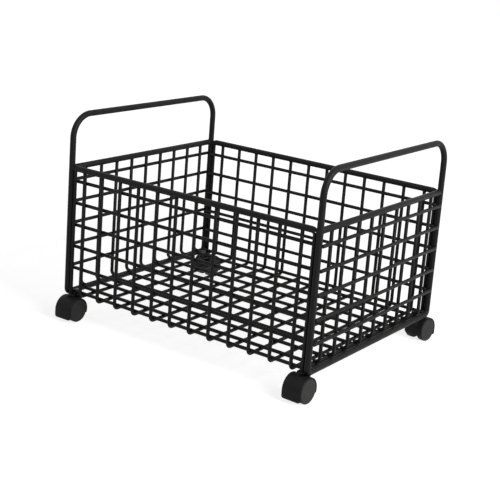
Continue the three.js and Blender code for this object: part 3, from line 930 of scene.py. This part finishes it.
def seen(tree):
    """1 where the camera or a reflection looks, 0 where light is gathered."""
    ray = tree.nodes.new("ShaderNodeLightPath")
    total = ray.outputs["Is Camera Ray"]
    for other in ("Is Glossy Ray", "Is Transmission Ray"):
        either = tree.nodes.new("ShaderNodeMath")
        either.operation = "MAXIMUM"
        tree.links.new(total, either.inputs[0])
        tree.links.new(ray.outputs[other], either.inputs[1])
        total = either.outputs["Value"]
    return total


def floor():
    """White floor that keeps the cart's soft shadow."""
    form = bmesh.new()
    bmesh.ops.create_grid(form, x_segments=1, y_segments=1, size=FLOOR_HALF)
    mesh = bpy.data.meshes.new("floor")
    form.to_mesh(mesh)
    form.free()
    made = bpy.data.objects.new("floor", mesh)
    scene.collection.objects.link(made)
    material = bpy.data.materials.new("floor_white")
    material.use_nodes = True
    tree = material.node_tree
    tree.nodes.clear()
    output = tree.nodes.new("ShaderNodeOutputMaterial")
    add = tree.nodes.new("ShaderNodeAddShader")
    diffuse = tree.nodes.new("ShaderNodeBsdfDiffuse")
    diffuse.inputs["Color"].default_value = FLOOR_SHADE
    glow = tree.nodes.new("ShaderNodeEmission")
    place = tree.nodes.new("ShaderNodeTexCoord")
    away = tree.nodes.new("ShaderNodeVectorMath")
    away.operation = "LENGTH"
    level = tree.nodes.new("ShaderNodeMapRange")
    for end, (reach, white) in (("Min", FLOOR_NEAR), ("Max", FLOOR_FAR)):
        level.inputs[f"From {end}"].default_value = reach
        level.inputs[f"To {end}"].default_value = white
    share = tree.nodes.new("ShaderNodeMath")
    share.operation = "MULTIPLY"
    tree.links.new(place.outputs["Object"], away.inputs[0])
    tree.links.new(away.outputs["Value"], level.inputs["Value"])
    tree.links.new(seen(tree), share.inputs[0])
    tree.links.new(level.outputs["Result"], share.inputs[1])
    tree.links.new(share.outputs["Value"], glow.inputs["Strength"])
    tree.links.new(diffuse.outputs["BSDF"], add.inputs[0])
    tree.links.new(glow.outputs["Emission"], add.inputs[1])
    tree.links.new(add.outputs["Shader"], output.inputs["Surface"])
    mesh.materials.append(material)


def world():
    """White surroundings for the camera and in reflections, softer as a light."""
    made = bpy.data.worlds.new("surroundings")
    made.use_nodes = True
    tree = made.node_tree
    tree.nodes.clear()
    output = tree.nodes.new("ShaderNodeOutputWorld")
    strength = tree.nodes.new("ShaderNodeMapRange")
    strength.inputs["To Min"].default_value = SURROUNDINGS
    background = tree.nodes.new("ShaderNodeBackground")
    background.inputs["Color"].default_value = WHITE
    tree.links.new(seen(tree), strength.inputs["Value"])
    tree.links.new(strength.outputs["Result"], background.inputs["Strength"])
    tree.links.new(background.outputs["Background"], output.inputs["Surface"])
    scene.world = made


def direction(azimuth, elevation):
    """From the cart, with the azimuth measured from the front towards +X."""
    flat = math.cos(elevation)
    return Vector((math.sin(azimuth) * flat, -math.cos(azimuth) * flat, math.sin(elevation)))


def area_light(name, azimuth, elevation, distance, size, power):
    """A square lamp aimed at the middle of the basket."""
    back = direction(math.radians(azimuth), math.radians(elevation))
    lamp = bpy.data.lights.new(name, "AREA")
    lamp.size = size
    lamp.energy = power
    made = bpy.data.objects.new(name, lamp)
    made.location = Vector((0, 0, rim_z / 2)) + back * distance
    made.rotation_mode = "QUATERNION"
    made.rotation_quaternion = (-back).to_track_quat("-Z", "Y")
    scene.collection.objects.link(made)


def camera():
    """At the photograph's viewing angle."""
    back = direction(CAMERA_AZIMUTH, CAMERA_ELEVATION)
    level = Vector((math.cos(CAMERA_AZIMUTH), math.sin(CAMERA_AZIMUTH), 0))
    above = back.cross(level)
    right = level * math.cos(CAMERA_ROLL) + above * math.sin(CAMERA_ROLL)
    up = above * math.cos(CAMERA_ROLL) - level * math.sin(CAMERA_ROLL)
    data = bpy.data.cameras.new("camera")
    data.sensor_width = SENSOR
    data.lens = CAMERA_LENS
    data.shift_y = CAMERA_SHIFT_Y
    data.clip_start, data.clip_end = CLIP_START, CLIP_END
    made = bpy.data.objects.new("camera", data)
    turn = Matrix((right, up, back)).transposed().to_4x4()
    aim = at(CAMERA_AIM.x, CAMERA_AIM.y, hoop_z + CAMERA_AIM.z)
    made.matrix_world = Matrix.Translation(aim + back * CAMERA_DISTANCE) @ turn
    scene.collection.objects.link(made)
    scene.camera = made


floor()
world()
for lamp_name, lamp_settings in LAMPS.items():
    area_light(lamp_name, *lamp_settings)
camera()
